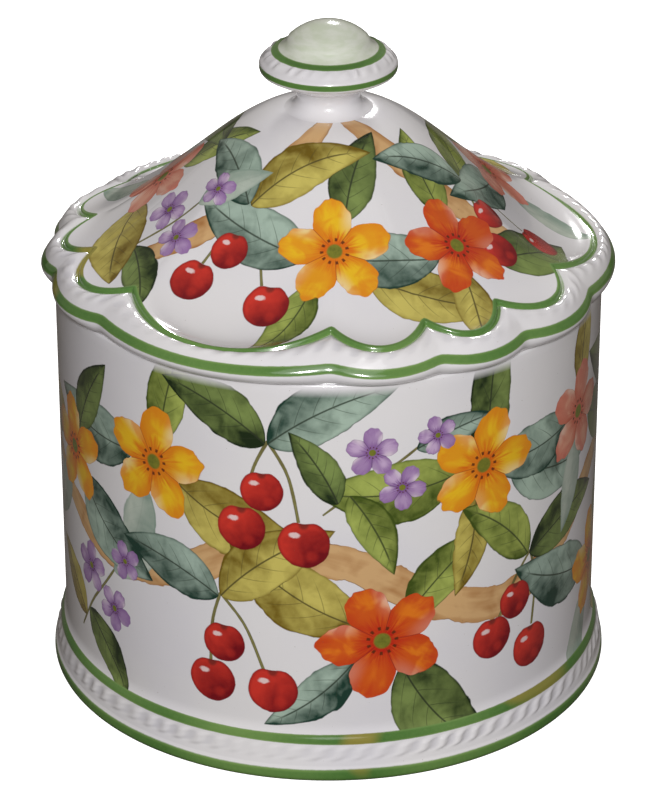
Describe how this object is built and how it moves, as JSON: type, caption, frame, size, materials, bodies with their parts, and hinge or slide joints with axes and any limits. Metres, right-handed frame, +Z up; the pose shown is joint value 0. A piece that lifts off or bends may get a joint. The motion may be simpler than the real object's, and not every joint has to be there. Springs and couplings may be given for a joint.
{
  "type": "biscuit jar",
  "caption": "Round straight-walled glazed earthenware biscuit jar on a spreading foot, with a lift-off scalloped and fluted domed lid and a round waisted knob.",
  "frame": {"origin": "on the jar's axis, in the plane of its foot ring, which it stands on", "axes": "+Z up along the jar's axis, -Y towards the viewer of the picture, +X to the viewer's right"},
  "size_m": [0.1804, 0.1804, 0.2161],
  "materials": {
    "jar_glaze": "white glossy glaze over painted leaves, berries and blossoms, with green brushed lines",
    "lid_glaze": "white glossy glaze over painted blossoms and leaves, with green brushed lines",
    "knob_glaze": "glossy glaze, sage green cap, white brim, green brushed lines"
  },
  "bodies": {
    "jar": {"jar_body": "jar_glaze"},
    "lid": {"lid": "lid_glaze", "knob": "knob_glaze"}
  },
  "joints": [
    {"name": "lid_lift", "type": "slide", "parent": "jar", "child": "lid", "axis": [0, 0, 1], "range_m": [0, 0.1]}
  ]
}
